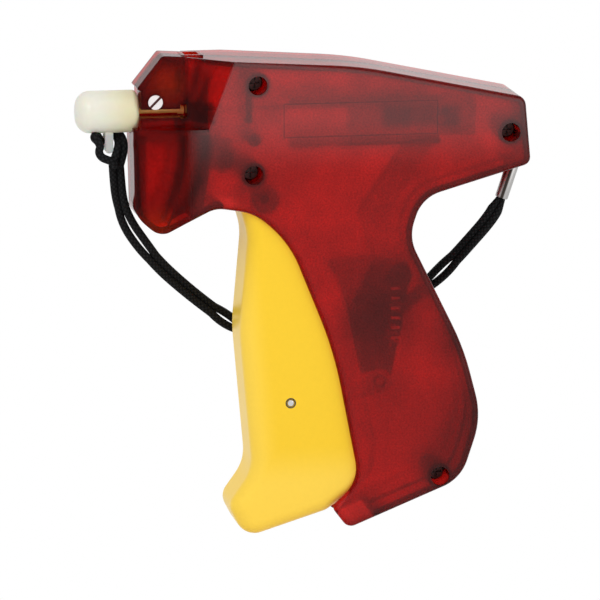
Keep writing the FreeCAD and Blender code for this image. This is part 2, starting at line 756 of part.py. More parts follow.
def biarc(p0, t0, p1, t1):
    """Two arcs from p0 to p1 with the tangents t0 and t1."""
    v = p1 - p0
    t = t0 + t1
    k = 2 * (1 - t0.dot(t1))
    vt = v.dot(t)
    if k < parallel:
        d = v.dot(v) / (4 * v.dot(t1))
    else:
        d = (math.sqrt(vt * vt + k * v.dot(v)) - vt) / k
    joint = (p0 + p1 + (t0 - t1) * d) * 0.5

    def arc(a, tangent, b):
        chord = b - a
        size = chord.Length
        direction = chord * (1 / size)
        sideways = tangent - direction * tangent.dot(direction)
        angle = math.acos(max(-1.0, min(1.0, tangent.dot(direction))))
        if sideways.Length < same_point:
            return Part.LineSegment(a, b).toShape()
        sideways.normalize()
        middle = (a + b) * 0.5 + sideways * (size / 2 * math.tan(angle / 2))
        return Part.Arc(a, middle, b).toShape()

    first = arc(p0, t0, joint)
    back = arc(p1, t1 * -1, joint)
    back.reverse()
    return [first, back]


def return_spring():
    """An open coil between the housing's peg and the lever's peg, beside the lever."""
    top = place(upper_peg_share)
    low = place(lower_peg_share)
    start = V(top[0], -spring_offset, top[1] - peg_radius - seat_gap)
    end = V(low[0], -spring_offset, low[1] + peg_radius + seat_gap)
    axis = (end - start)
    length = axis.Length
    axis.normalize()
    across = V(0, 1, 0)
    other = axis.cross(across)
    coil = spring_turns * spring_pitch
    lead = (length - coil) / 2
    quarter = math.pi / 2

    def point(turn):
        along = start + axis * (lead + spring_pitch * turn / (2 * math.pi))
        return along + (other * math.cos(turn) + across * math.sin(turn)) * spring_radius

    def tangent(turn):
        direction = (across * math.cos(turn) - other * math.sin(turn)) * spring_radius
        direction = direction + axis * (spring_pitch / (2 * math.pi))
        direction.normalize()
        return direction

    steps = spring_turns * 4
    edges = []
    edges += biarc(start, axis, point(0), tangent(0))
    for i in range(steps):
        turn = i * quarter
        edges += biarc(point(turn), tangent(turn), point(turn + quarter), tangent(turn + quarter))
    last = steps * quarter
    edges += biarc(point(last), tangent(last), end, axis)
    path = Part.Wire(edges)
    profile = Part.Wire(Part.makeCircle(spring_wire / 2, start, axis))
    solid = path.makePipeShell([profile], True, False)
    samples = path.discretize(Number=40 * spring_turns)
    apart = math.pi * spring_radius
    step = path.Length / len(samples)
    skip = int(apart / step)
    gap = min((a - b).Length for i, a in enumerate(samples) for b in samples[i + skip:]) - spring_wire
    print("return spring turns", spring_turns, "least gap of the wire to itself", round(gap, 2))
    return solid


def needle_cap():
    back = nose_front_x - cap_gap
    front = back - cap_length
    shape = cylinder_x(0, rod_z, cap_radius, front, back)
    for edge_x, radius in ((front, cap_front_round), (back, cap_back_round)):
        edges = [e for e in shape.Edges if abs(e.CenterOfMass.x - edge_x) < fit_gap and e.Closed]
        shape = shape.makeFillet(radius, edges)
    lug_x = lug_share * body_length
    bottom = rod_z - cap_radius - lug_length
    top = rod_z - cap_radius / 2
    lug = prism([(lug_x - lug_width / 2, top, 0), (lug_x + lug_width / 2, top, 0),
                 (lug_x + lug_width / 2, bottom, lug_round), (lug_x - lug_width / 2, bottom, lug_round)],
                -lug_depth / 2, lug_depth / 2)
    shape = union([shape, lug])
    eye = cylinder_x(0, hitch_centre()[1] + hitch_radius, lug_eye_radius, lug_x - overrun, lug_x + overrun)
    bore = cylinder_x(0, rod_z, cap_bore_radius, back - cap_bore_length, back + overrun)
    return shape.cut([bore, eye])


def hitch_centre():
    top = rod_z - cap_radius - lug_eye_radius - seat_gap
    return (lug_share * body_length, top - hitch_radius)


def cord_hitch():
    x, z = hitch_centre()
    return Part.makeTorus(hitch_radius, strand_radius, V(x, 0, z), V(0, 1, 0))


def cord_ferrule():
    shape = ferrule_solid(ferrule_radius, 0, ferrule_length)
    return shape.cut(ferrule_solid(ferrule_bore_radius, ferrule_length - ferrule_bore_depth, overrun))


def wrist_cord():
    """Straight runs joined by tangent arcs, each arc as large as its two runs allow."""
    points = [V(*p) for p in cord_route]
    edges = []
    here = points[0]
    for i in range(1, len(points) - 1):
        before = points[i] - points[i - 1]
        after = points[i + 1] - points[i]
        shorter = min(before.Length, after.Length)
        turn = before.getAngle(after)
        trim = cord_trim_share * shorter
        radius = trim / math.tan(turn / 2)
        into = V(before).normalize()
        away = V(after).normalize()
        start = points[i] - into * trim
        stop = points[i] + away * trim
        inward = (away - into).normalize()
        depth = radius / math.cos(turn / 2) - radius
        middle = points[i] + inward * depth
        edges.append(Part.LineSegment(here, start).toShape())
        edges.append(Part.Arc(start, middle, stop).toShape())
        print("cord turn", i, "degrees", round(math.degrees(turn), 1), "radius", round(radius, 1))
        here = stop
    edges.append(Part.LineSegment(here, points[-1]).toShape())
    path = Part.Wire(edges)
    direction = points[1] - points[0]
    profile = Part.Wire(Part.makeCircle(cord_radius, points[0], direction))
    solid = path.makePipeShell([profile], True, False)
    share = solid.Volume / (math.pi * cord_radius ** 2 * path.Length)
    print("cord length", round(path.Length, 1), "volume over section times length", round(share, 4))
    return solid


def report_places():
    print("trigger pivot", TP)
    print("link front pin", LINK_A)
    print("link rear pin", LINK_B)
    print("lever pivot", LP, "upper arm", upper_arm, "lower arm", lower_arm, "stroke", stroke)
    print("drive pin", DRIVE)
    print("wheel", WHEEL, "pawl", PAWL, "lock", LOCK, "rod z", rod_z, "slide z0", slide_z0)
    print("lever per trigger", lever_swing / trigger_swing)
    print("slide per trigger, m per rad", stroke / 1000 / math.radians(trigger_swing))


def main():
    save("housing_left", housing_shell(-1))
    save("housing_right", housing_shell(1))
    save("case_screws", case_screws())
    save("trigger", trigger())
    save("trigger_pivot_pin", cylinder_y(TP, pivot_pin_radius, -pin_reach, pin_reach))
    save("trigger_link_pin", cylinder_y(LINK_A, link_pin_radius, -half_trigger, half_trigger))
    save("drive_link", drive_link())
    save("drive_lever", drive_lever())
    save("lever_pivot_pin", cylinder_y(LP, lever_pin_radius, -pin_reach, pin_reach))
    link_outer = half_lever + side_gap + link_cheek
    save("lever_link_pin", cylinder_y(LINK_B, pivot_pin_radius, -link_outer, link_outer))
    save("slide_drive_pin", cylinder_y(DRIVE, pivot_pin_radius, -half_slide, half_slide))
    save("return_spring", return_spring())
    save("slide_block", slide_block())
    rod_tip_x = channel_x + channel_width / 2 + side_gap
    save("plunger_rod", cylinder_x(0, rod_z, rod_radius, rod_tip_x, slide_front + rod_embed))
    save("needle", needle())
    save("needle_collar", needle_collar())
    save("needle_lock_screw", lock_screw())
    save("cutter_blade", blade_block())
    save("feed_wheel", feed_wheel())
    save("feed_wheel_axle", cylinder_y(WHEEL, axle_radius, -(pin_reach - wall), pin_reach - wall))
    save("feed_pawl", feed_pawl())
    save("feed_pawl_pin", cylinder_y(PAWL, pawl_pin_radius, -(pin_reach - wall), pin_reach - wall))
    save("feed_pawl_spring", pawl_spring())
    save("needle_cap", needle_cap())
    save("cord_hitch", cord_hitch())
    save("cord_ferrule", cord_ferrule())
    save("wrist_cord", wrist_cord())
    report_places()


main()
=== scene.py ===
import math

import bmesh
import bpy
from mathutils import Matrix, Vector


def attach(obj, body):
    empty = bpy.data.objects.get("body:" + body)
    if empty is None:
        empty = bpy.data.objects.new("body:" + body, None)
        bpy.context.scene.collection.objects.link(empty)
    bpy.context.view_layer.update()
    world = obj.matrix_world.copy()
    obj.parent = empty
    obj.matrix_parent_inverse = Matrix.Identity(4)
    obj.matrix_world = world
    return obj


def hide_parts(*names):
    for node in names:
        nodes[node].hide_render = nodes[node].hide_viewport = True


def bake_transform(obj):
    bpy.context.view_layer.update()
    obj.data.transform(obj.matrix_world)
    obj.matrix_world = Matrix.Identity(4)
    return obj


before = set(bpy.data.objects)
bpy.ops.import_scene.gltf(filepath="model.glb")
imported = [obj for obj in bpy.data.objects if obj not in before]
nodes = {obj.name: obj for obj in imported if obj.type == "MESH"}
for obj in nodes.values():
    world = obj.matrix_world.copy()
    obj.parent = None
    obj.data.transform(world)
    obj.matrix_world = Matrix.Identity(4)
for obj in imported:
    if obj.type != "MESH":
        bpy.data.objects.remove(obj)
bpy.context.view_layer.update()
scene = bpy.context.scene

# Sizes are in metres, and colours are linear red, green and blue.

# The shell: its red on the side panels, on the nose and guard, its painted glow where it gathers light, and
# its painted highlight over the spring
SHELL_RED = (0.66, 0.016, 0.012)
SHELL_DEEP = (0.57, 0.008, 0.005)
SHELL_PAINTED_GLOW = (1.00, 0.060, 0.010)
SPRING_PAINTED_HIGHLIGHT = (1.0, 0.018, 0.014)
SHELL_SURFACE = {
    "Transmission Weight": 0.86, "IOR": 1.15, "Specular IOR Level": 0.4,
    "Coat Roughness": 0.55, "Coat IOR": 1.58,
}
SHELL_DEPTH = {"Color": (0.58, 0.03, 0.03), "Density": 140.0}
# Distances from the mid-plane between which the side panels turn matte
PANEL_START = 0.0135
PANEL_END = 0.01395
# Roughness of the gloss, what the panels add to it low and high, and the heights between which it grows
GLOSS = 0.08
PANEL_BLUR = (0.24, 0.42)
BLUR_HEIGHTS = (0.020, 0.045)
# The frost on the panels low and high, and the heights between which it grows
FROST = (0.24, 1.0)
FROST_HEIGHTS = (0.066, 0.085)
# How strong the grain's relief is off and on the panels
PANEL_RELIEF = (0.03, 0.45)
# Scale and variation of the shell's grain and of its wider clouds
SHELL_GRAIN = (1500.0, 1.5)
SHELL_CLOUDS = (70.0, 0.9)
# How far the shell's edges are rounded, and how deep the grain's relief is
SHELL_EDGE = 0.0005
GRAIN_DEPTH = 0.0001
# Finishes: the grain's scale and variation, its relief's strength, and how far the edges are rounded
PLAIN_FINISH = (1500.0, 0.2, 0.1, 0.0002)
TRIGGER_FINISH = (900.0, 0.06, 0.05, 0.0009)
CAP_FINISH = (500.0, 0.08, 0.08, 0.0003)
FERRULE_FINISH = (1500.0, 0.15, 0.1, 0.0)

# What shows through the shell, painted into its red as shade and light, in X and Z or in X, Y and Z. A shade
# of 1 leaves the red as it is.
# First the nose's fade and its end in X, the guard's heights and fade, and the pocket's heights
NOSE_FADE = (-0.050, -0.044)
NOSE_END = (-0.0401, -0.0399)
GUARD_HEIGHTS = (0.030, 0.0805, 0.0006)
GUARD_FADE = (-0.047, -0.046)
POCKET_HEIGHTS = (0.0895, 0.1100, 0.0008)
# Painted shade along the clip channel's curved walls in the guard: centre, radius, half width and shade
CHANNEL_WALL_SHADE = [
    ((-0.1037, 0.0788), 0.0474, 0.0015, 0.45), ((-0.0872, 0.0791), 0.0376, 0.0019, 0.40),
]
CHANNEL_SOFTNESS = 0.9
# Slanting streaks of painted shade in the pocket: a point on the line, its lean, half width and shade
POCKET_SHADE_STREAKS = [((-0.0474, 0.0980), 0.42, 0.0011, 0.45), ((-0.0516, 0.0980), 0.30, 0.0008, 0.60)]
STREAK_SOFTNESS = 0.8
# Places of painted shade: least, most, softness and shade
SHADE_SPOTS = [
    ((-0.0556, 0.0837), (-0.0464, 0.0902), 0.0010, 0.30),
    ((-0.0582, 0.0932), (-0.0562, 0.1002), 0.0004, 0.45),
    ((-0.0706, 0.0540), (-0.0676, 0.0805), 0.0008, 0.45),
    ((-0.0552, 0.0900), (-0.0538, 0.1040), 0.0005, 0.55),
    ((0.0072, 0.0816), (0.0245, 0.0884), 0.0020, 0.62),
    ((0.0262, 0.0810), (0.0320, 0.0880), 0.0020, 0.62),
]
# Painted shade in the handle behind its curved inner wall: centre, middle radius, half width and softness;
# heights; shade
BEHIND_WALL = ((-0.1069, -0.0161), 0.1299, 0.0196, 0.0006)
BEHIND_WALL_HEIGHTS = (-0.030, 0.040, 0.004)
BEHIND_WALL_SHADE = 0.86
# The outline of the slide's window on the panel: least, most, width, softness and shade
WINDOW = ((-0.0242, 0.0791), (0.0245, 0.0893), 0.0004, 0.0001, 0.55)
# Painted shade along the shell's outer edges, where the eye looks along its side wall: width and shade
EDGE_SHADE = (0.0034, 0.40)
# How closely the rounded normal follows the flat one where that painted shade starts, and where it is full
EDGE_SHADE_TURN = (0.999, 0.88)
# Clouds of painted shade in the handle, at the tail and on the panel: place, reach and shade
SHADE_CLOUDS = [
    ((0.0080, -0.0140, 0.0200), 0.0200, 0.62), ((0.0280, -0.0120, -0.0280), 0.0150, 0.60),
    ((0.0300, -0.0120, 0.0120), 0.0130, 0.62), ((-0.0270, -0.0140, 0.0880), 0.0070, 0.75),
    ((0.0480, -0.0140, 0.0780), 0.0070, 0.75), ((0.0000, -0.0140, 0.0960), 0.0060, 0.85),
    ((0.0550, -0.0100, 0.0800), 0.0150, 0.45), ((0.0350, -0.0120, -0.0120), 0.0170, 0.50),
    ((-0.0380, -0.0140, 0.0700), 0.0090, 0.80), ((0.0020, -0.0130, -0.0460), 0.0120, 0.50),
]
# Painted highlights of the return spring's turns: pitch, the part of each wave that shows, and least, most
# and softness in X, Z
SPRING_PITCH = 0.0032
SPRING_WAVE = (0.30, 0.90)
SPRING_X = (0.0100, 0.0128, 0.0005)
SPRING_Z = (0.0130, 0.0300, 0.0006)
# Painted glow where the shell gathers light, at the guard's tip, the clip inlet and the nose: place and reach
PAINTED_GLOW_SPOTS = [
    ((-0.0637, -0.0075, 0.0510), 0.010), ((-0.0520, 0.0, 0.1030), 0.008), ((-0.0605, -0.0105, 0.0960), 0.009),
]

# The trigger: its yellow and the paler yellow of its painted highlight, where that highlight's front strip
# fades, that strip's lean, and its lower end
TRIGGER_YELLOW = (0.88, 0.565, 0.030)
TRIGGER_HIGHLIGHT = (0.92, 0.620, 0.072)
TRIGGER_FRONT = (-0.0360, -0.0270)
TRIGGER_LEAN = -0.10
TRIGGER_FOOT = (-0.020, -0.034)
TRIGGER_HALF = 0.0117
LINK_PIN = Vector((-0.021924, 0.0, -0.006946))

# The lever: its dark lower arm and its lighter rest, and where each turns into the other
LEVER_DARK = (0.045, 0.006, 0.008)
LEVER_LIGHT = (0.60, 0.05, 0.05)
LEVER_ARM = (0.034, 0.040)
LEVER_FRONT = (-0.0028, -0.0010)
LEVER_FRONT_HEIGHT = 0.021
LEVER_FRONT_LEAN = 0.50

# The needle lock: its plated face and the painted shade in its slot, whose floor lies deeper than the face
LOCK_PLATED = (0.80, 0.74, 0.74)
LOCK_SLOT_SHADE = (0.10, 0.03, 0.03)
LOCK_FACE = 0.0086
LOCK_EDGE = (0.00025, 0.0001)

# The ferrule: its metal, and the painted dark reflection along its left side with least, most and softness
# across it
FERRULE_METAL = (0.44, 0.43, 0.42)
FERRULE_DARK_REFLECTION = (0.045, 0.035, 0.030)
FERRULE_START = Vector((0.0484, 0.0, 0.0552))
FERRULE_LEAN = math.atan2(0.3184, 0.9480)
REFLECTION_ACROSS = (-0.0010, 0.0001, 0.00025)
REFLECTION_SIDE = (-0.0010, -0.0006)

# The cap: its front, its thinner rear and its lug, and where each turns into the next
CAP_WHITE = (0.86, 0.85, 0.74)
CAP_YELLOW = (0.82, 0.76, 0.50)
CAP_LUG = (0.62, 0.62, 0.60)
CAP_FADE = (-0.083, -0.071)
LUG_TOP = (0.0790, 0.0806)

# The cord: its yarns' dark and light, and how many of them lie round a strand in each direction
YARN_DARK = (0.0015, 0.0015, 0.0016)
YARN_LIGHT = (0.014, 0.014, 0.015)
YARNS = 5
# The braid's relief: strength and depth
BRAID_RELIEF = (0.8, 0.0002)
STRAND_RADIUS = 0.0013
# The strands pressed together at the ferrule: their share of the full size there, and how far that reaches
PRESSED_SHARE = 0.58
PRESSED_REACH = 0.0045
# Half the strands' distance in radii, and how far and how often they turn about each other
STRAND_SPREAD = 0.92
TWIST = 0.5
TWIST_TURNS = 2
# The wrist cord's route, from the ferrule down behind the grip and up to the cap's lug
CORD_ROUTE = [
    (0.0484, 0.0, 0.0552), (0.0464, 0.0003, 0.0510), (0.0437, 0.0018, 0.0466),
    (0.0400, 0.0049, 0.0412), (0.0354, 0.0100, 0.0341), (0.0296, 0.0166, 0.0259),
    (0.0211, 0.0198, 0.0177), (0.0097, 0.0203, 0.0107), (-0.0035, 0.0200, 0.0063),
    (-0.0168, 0.0190, 0.0059), (-0.0278, 0.0174, 0.0089), (-0.0374, 0.0150, 0.0148),
    (-0.0465, 0.0122, 0.0220), (-0.0545, 0.0096, 0.0290), (-0.0612, 0.0072, 0.0355),
    (-0.0669, 0.0052, 0.0425), (-0.0720, 0.0043, 0.0501), (-0.0745, 0.0026, 0.0583),
    (-0.0753, 0.0012, 0.0649), (-0.0757, 0.0004, 0.0697),
]
# Where the two strands stand apart: place, half length and gap
CORD_GAPS = [
    (Vector((-0.0684, 0.0046, 0.0465)), 0.0100, 0.0009), (Vector((-0.0392, 0.0146, 0.0160)), 0.0050, 0.0009),
    (Vector((0.0319, 0.0140, 0.0292)), 0.0070, 0.0008),
]
# The hitch round the lug: its long strand, whose bight stands up on the left, and a short turn over it
HITCH_ROUTE = [
    (-0.0746, -0.0002, 0.0692), (-0.0738, -0.0010, 0.0722), (-0.0732, -0.0008, 0.0756),
    (-0.0738, 0.0004, 0.0785), (-0.0756, 0.0020, 0.0797), (-0.0774, 0.0030, 0.0782),
    (-0.0786, 0.0034, 0.0760), (-0.0797, 0.0026, 0.0756), (-0.0806, 0.0008, 0.0772),
    (-0.0816, -0.0012, 0.0790), (-0.0828, -0.0026, 0.0796), (-0.0833, -0.0036, 0.0788),
    (-0.0820, -0.0040, 0.0777), (-0.0812, -0.0036, 0.0760), (-0.0818, -0.0032, 0.0742),
    (-0.0808, -0.0032, 0.0724), (-0.0786, -0.0032, 0.0715), (-0.0768, -0.0028, 0.0708),
    (-0.0760, -0.0016, 0.0694),
]
HITCH_TURN = [
    (-0.0776, 0.0032, 0.0786), (-0.0763, 0.0028, 0.0790), (-0.0752, 0.0014, 0.0782),
    (-0.0750, -0.0008, 0.0764), (-0.0757, -0.0022, 0.0744), (-0.0765, -0.0024, 0.0722),
    (-0.0769, -0.0014, 0.0700),
]

# Turned pieces: height and radius of each station
FERRULE_STATIONS = [
    (0.0036, 0.00002), (0.0036, 0.00150), (0.0004, 0.00158), (0.0000, 0.00172), (0.0000, 0.00192),
    (0.0002, 0.00205), (0.0006, 0.00208), (0.0134, 0.00208), (0.0137, 0.00190), (0.0137, 0.00002),
]
PIN_STATIONS = [
    (-0.01188, 0.00002), (-0.01184, 0.00060), (-0.01172, 0.00096), (-0.0115, 0.00110), (-0.0112, 0.00125),
    (0.0112, 0.00125), (0.0115, 0.00110), (0.01172, 0.00096), (0.01184, 0.00060), (0.01188, 0.00002),
]
# The dark ring of painted shade round each end of the link pin
SHADE_RING_STATIONS = [
    (-0.0006, 0.00126), (0.00001, 0.00130), (0.00006, 0.00142), (0.00004, 0.00168), (-0.0006, 0.00172),
]
PIN_SIDES = 32
SMOOTH_ANGLE = math.radians(35)

# Stage and light
WHITE = (1.0, 1.0, 1.0)
FLOOR_SIZE = 6.0
FLOOR_HEIGHT = -0.0516
# The sky's strength as light, and as it is seen
SKY_STRENGTH = (0.75, 1.0)
# Lamps: name, place, size and power
LAMPS = [("key_lamp", (-0.5, -0.9, 0.9), 0.5, 5.5), ("fill_lamp", (0.9, -0.8, 0.3), 0.7, 2.5)]
LAMP_AIM = Vector((0, 0, 0.03))

# The photo's camera: its angles, its distance, and how far right and up of the origin it aims
CAMERA_AZIMUTH = math.radians(10)
CAMERA_ELEVATION = math.radians(11)
CAMERA_DISTANCE = 1.8
CAMERA_AIM = (-0.01664, 0.02304)
CAMERA_LENS = 337.5
CAMERA_SENSOR = 36.0


def deselect():
    bpy.ops.object.select_all(action="DESELECT")


# Node helpers. A value, a colour or a mask may be an output of another node.

def feed(tree, socket, value):
    """Gives an input a number, a colour, a vector or another node's output."""
    if isinstance(value, bpy.types.NodeSocket):
        tree.links.new(value, socket)
    elif socket.type == "RGBA":
        socket.default_value = (*value, 1.0)
    else:
        socket.default_value = value


def add(tree, kind, inputs=None, **settings):
    """A new node with its settings and its inputs."""
    node = tree.nodes.new(kind)
    for key, value in settings.items():
        setattr(node, key, value)
    for key, value in (inputs or {}).items():
        feed(tree, node.inputs[key], value)
    return node


def worked(tree, operation, *values):
    """One step of arithmetic."""
    return add(tree, "ShaderNodeMath", dict(enumerate(values)), operation=operation).outputs["Value"]


def both(tree, first, second):
    """1 where two masks are both 1."""
    return worked(tree, "MULTIPLY", first, second)


def either(tree, first, second):
    """1 where one of two masks is 1."""
    return worked(tree, "MAXIMUM", first, second)


def spanned(tree, value, start, end, low, high, shape="LINEAR"):
    """A value that runs from low to high while another runs from start to end."""
    inputs = {"Value": value, "From Min": start, "From Max": end, "To Min": low, "To Max": high}
    return add(tree, "ShaderNodeMapRange", inputs, interpolation_type=shape).outputs["Result"]


def rising(tree, value, start, end):
    """A mask that grows smoothly from 0 to 1 between two values."""
    return spanned(tree, value, start, end, 0.0, 1.0, "SMOOTHSTEP")


def falling(tree, value, start, end):
    """A mask that fades smoothly from 1 to 0 between two values."""
    return spanned(tree, value, start, end, 1.0, 0.0, "SMOOTHSTEP")


def inside(tree, value, low, high, soft):
    """1 where a value lies between two others, with soft ends."""
    above = rising(tree, value, low - soft, low + soft)
    below = falling(tree, value, high - soft, high + soft)
    return both(tree, above, below)


def mixed(tree, mask, first, second, blend_type="MIX"):
    """The first colour where the mask is 0, turning into the second, or multiplied by it, where it is 1."""
    inputs = {"Factor": mask, "A": first, "B": second}
    return add(tree, "ShaderNodeMix", inputs, data_type="RGBA", blend_type=blend_type).outputs["Result"]


def stained(tree, colour, mask, shade):
    """A colour, darker where the mask is 1."""
    return mixed(tree, mask, colour, (shade, shade, shade), "MULTIPLY")


def place_of(tree):
    """X, Y and Z of a place of the object."""
    coord = add(tree, "ShaderNodeTexCoord")
    parts = add(tree, "ShaderNodeSeparateXYZ", {"Vector": coord.outputs["Object"]})
    return parts.outputs["X"], parts.outputs["Y"], parts.outputs["Z"]


def distance_to(tree, vector, centre):
    """How far a vector is from a centre."""
    return add(tree, "ShaderNodeVectorMath", {0: vector, 1: centre}, operation="DISTANCE").outputs["Value"]


def near_mask(tree, centre, reach):
    """1 at a place of the object, fading to 0 at a distance."""
    coord = add(tree, "ShaderNodeTexCoord")
    return falling(tree, distance_to(tree, coord.outputs["Object"], centre), 0.0, reach)


def box_mask(tree, low, high, soft):
    """1 inside a box in X and Z."""
    x, _, z = place_of(tree)
    return both(tree, inside(tree, x, low[0], high[0], soft), inside(tree, z, low[1], high[1], soft))


def arc_mask(tree, centre, radius, half, soft):
    """1 on an arc in X and Z."""
    x, _, z = place_of(tree)
    flat = add(tree, "ShaderNodeCombineXYZ", {"X": x, "Z": z})
    away = distance_to(tree, flat.outputs["Vector"], (centre[0], 0.0, centre[1]))
    return inside(tree, away, radius - half, radius + half, soft)


def edge_shade_mask(tree, width):
    """1 near the shell's outer edges, where the eye looks along its side wall: the mask of the painted edge
    shade.
    """
    rounded = add(tree, "ShaderNodeBevel", {"Radius": width}, samples=6)
    flat = add(tree, "ShaderNodeNewGeometry")
    along = add(tree, "ShaderNodeVectorMath", {0: rounded.outputs["Normal"], 1: flat.outputs["True Normal"]},
                operation="DOT_PRODUCT")
    return rising(tree, along.outputs["Value"], *EDGE_SHADE_TURN)


def side_mask(tree):
    """0 on the narrow nose, guard and edges, 1 on the wide matte side panels."""
    _, y, _ = place_of(tree)
    return spanned(tree, worked(tree, "ABSOLUTE", y), PANEL_START, PANEL_END, 0.0, 1.0)


# Materials

def grain_group():
    """Fine moulded grain from Object coordinates: a factor for the colour and a height for the relief."""
    group = bpy.data.node_groups.new("moulded_grain", "ShaderNodeTree")
    for name, way in (("Scale", "INPUT"), ("Variation", "INPUT"), ("Factor", "OUTPUT"), ("Height", "OUTPUT")):
        group.interface.new_socket(name, in_out=way, socket_type="NodeSocketFloat")
    given = add(group, "NodeGroupInput")
    coord = add(group, "ShaderNodeTexCoord")
    noise = add(group, "ShaderNodeTexNoise", {
        "Detail": 3.0, "Roughness": 0.6, "Vector": coord.outputs["Object"], "Scale": given.outputs["Scale"],
    })
    middle = worked(group, "SUBTRACT", noise.outputs["Fac"], 0.5)
    factor = worked(group, "MULTIPLY_ADD", middle, given.outputs["Variation"], 1.0)
    add(group, "NodeGroupOutput", {"Factor": factor, "Height": noise.outputs["Fac"]})
    return group


GRAIN = grain_group()


def grain_of(tree, scale, variation):
    """The grain's colour factor and height at a scale and with a variation."""
    grain = add(tree, "ShaderNodeGroup", node_tree=GRAIN)
    grain.inputs["Scale"].default_value = scale
    grain.inputs["Variation"].default_value = variation
    return grain.outputs["Factor"], grain.outputs["Height"]


def new_material(name, surface):
    """A material with its node tree, its shader and the shader's settings."""
    material = bpy.data.materials.new(name)
    material.use_nodes = True
    tree = material.node_tree
    shader = tree.nodes["Principled BSDF"]
    for key, value in surface.items():
        feed(tree, shader.inputs[key], value)
    return material, tree, shader


def relieve(tree, shader, height, strength, depth, edge):
    """Relief over softly rounded edges."""
    relief = add(tree, "ShaderNodeBump", {"Strength": strength, "Distance": depth, "Height": height})
    if edge:
        rounding = add(tree, "ShaderNodeBevel", {"Radius": edge}, samples=4)
        feed(tree, relief.inputs["Normal"], rounding.outputs["Normal"])
    feed(tree, shader.inputs["Normal"], relief.outputs["Normal"])


def finish_surface(tree, shader, colour, scale, variation, strength, edge):
    """Grain in the colour and in the relief."""
    factor, height = grain_of(tree, scale, variation)
    feed(tree, shader.inputs["Base Color"], mixed(tree, 1.0, colour, factor, "MULTIPLY"))
    relieve(tree, shader, height, strength, GRAIN_DEPTH, edge)


def shell_colour(tree, panel):
    """Red that is deeper on the nose and guard, with painted shade and painted light where the inside shows
    through it.
    """
    x, _, z = place_of(tree)
    front = worked(tree, "SUBTRACT", falling(tree, x, *NOSE_FADE), panel)
    nose = both(tree, front, falling(tree, x, *NOSE_END))
    colour = mixed(tree, worked(tree, "MAXIMUM", nose, 0.0), SHELL_RED, SHELL_DEEP)
    guard = both(tree, inside(tree, z, *GUARD_HEIGHTS), falling(tree, x, *GUARD_FADE))
    # Painted shade in bands along the channel walls
    for centre, radius, half, shade in CHANNEL_WALL_SHADE:
        wall = arc_mask(tree, centre, radius, half, half * CHANNEL_SOFTNESS)
        colour = stained(tree, colour, both(tree, wall, guard), shade)
    pocket = both(tree, inside(tree, z, *POCKET_HEIGHTS), nose)
    # Painted shade in slanting streaks across the pocket
    for point, lean, half, shade in POCKET_SHADE_STREAKS:
        over = worked(tree, "SUBTRACT", x, point[0])
        up = worked(tree, "SUBTRACT", z, point[1])
        across = worked(tree, "SUBTRACT", over, worked(tree, "MULTIPLY", up, lean))
        shade_streak = inside(tree, across, -half, half, half * STREAK_SOFTNESS)
        colour = stained(tree, colour, both(tree, shade_streak, pocket), shade)
    # Painted shade in each box
    for low, high, soft, shade in SHADE_SPOTS:
        colour = stained(tree, colour, box_mask(tree, low, high, soft), shade)
    # Painted shade over the handle behind its inner wall
    behind = both(tree, arc_mask(tree, *BEHIND_WALL), inside(tree, z, *BEHIND_WALL_HEIGHTS))
    colour = stained(tree, colour, both(tree, behind, panel), BEHIND_WALL_SHADE)
    low, high, line, soft, shade = WINDOW
    outer = box_mask(tree, (low[0] - line, low[1] - line), (high[0] + line, high[1] + line), soft)
    inner = box_mask(tree, low, high, soft)
    colour = stained(tree, colour, worked(tree, "SUBTRACT", outer, inner), shade)
    # Painted shade along the shell's outer edges
    width, shade = EDGE_SHADE
    colour = stained(tree, colour, edge_shade_mask(tree, width), shade)
    # Painted shade in soft clouds
    for centre, reach, shade in SHADE_CLOUDS:
        colour = stained(tree, colour, near_mask(tree, centre, reach), shade)
    # Painted highlights of the return spring's turns, seen through the panel
    wave = worked(tree, "SINE", worked(tree, "MULTIPLY", z, 2 * math.pi / SPRING_PITCH))
    turns = both(tree, rising(tree, wave, *SPRING_WAVE), inside(tree, x, *SPRING_X))
    turns = both(tree, turns, inside(tree, z, *SPRING_Z))
    colour = mixed(tree, both(tree, turns, panel), colour, SPRING_PAINTED_HIGHLIGHT)
    # Painted glow: a brighter red mixed into the colour at each spot
    for centre, reach in PAINTED_GLOW_SPOTS:
        colour = mixed(tree, near_mask(tree, centre, reach), colour, SHELL_PAINTED_GLOW)
    return colour


def red_shell():
    """Translucent red plastic: matte fine grain on the side panels, gloss on the nose and guard."""
    material, tree, shader = new_material("red_translucent_shell", SHELL_SURFACE)
    panel = side_mask(tree)
    _, _, z = place_of(tree)
    factor, height = grain_of(tree, *SHELL_GRAIN)
    colour = mixed(tree, 1.0, shell_colour(tree, panel), factor, "MULTIPLY")
    colour = mixed(tree, 1.0, colour, grain_of(tree, *SHELL_CLOUDS)[0], "MULTIPLY")
    feed(tree, shader.inputs["Base Color"], colour)
    blur = spanned(tree, z, *BLUR_HEIGHTS, *PANEL_BLUR, "SMOOTHSTEP")
    feed(tree, shader.inputs["Roughness"], worked(tree, "ADD", worked(tree, "MULTIPLY", blur, panel), GLOSS))
    frost = spanned(tree, rising(tree, z, *FROST_HEIGHTS), 0.0, 1.0, *FROST)
    feed(tree, shader.inputs["Coat Weight"], worked(tree, "MULTIPLY", panel, frost))
    relieve(tree, shader, height, spanned(tree, panel, 0.0, 1.0, *PANEL_RELIEF), GRAIN_DEPTH, SHELL_EDGE)
    depth = add(tree, "ShaderNodeVolumeAbsorption", SHELL_DEPTH)
    feed(tree, tree.nodes["Material Output"].inputs["Volume"], depth.outputs["Volume"])
    return material


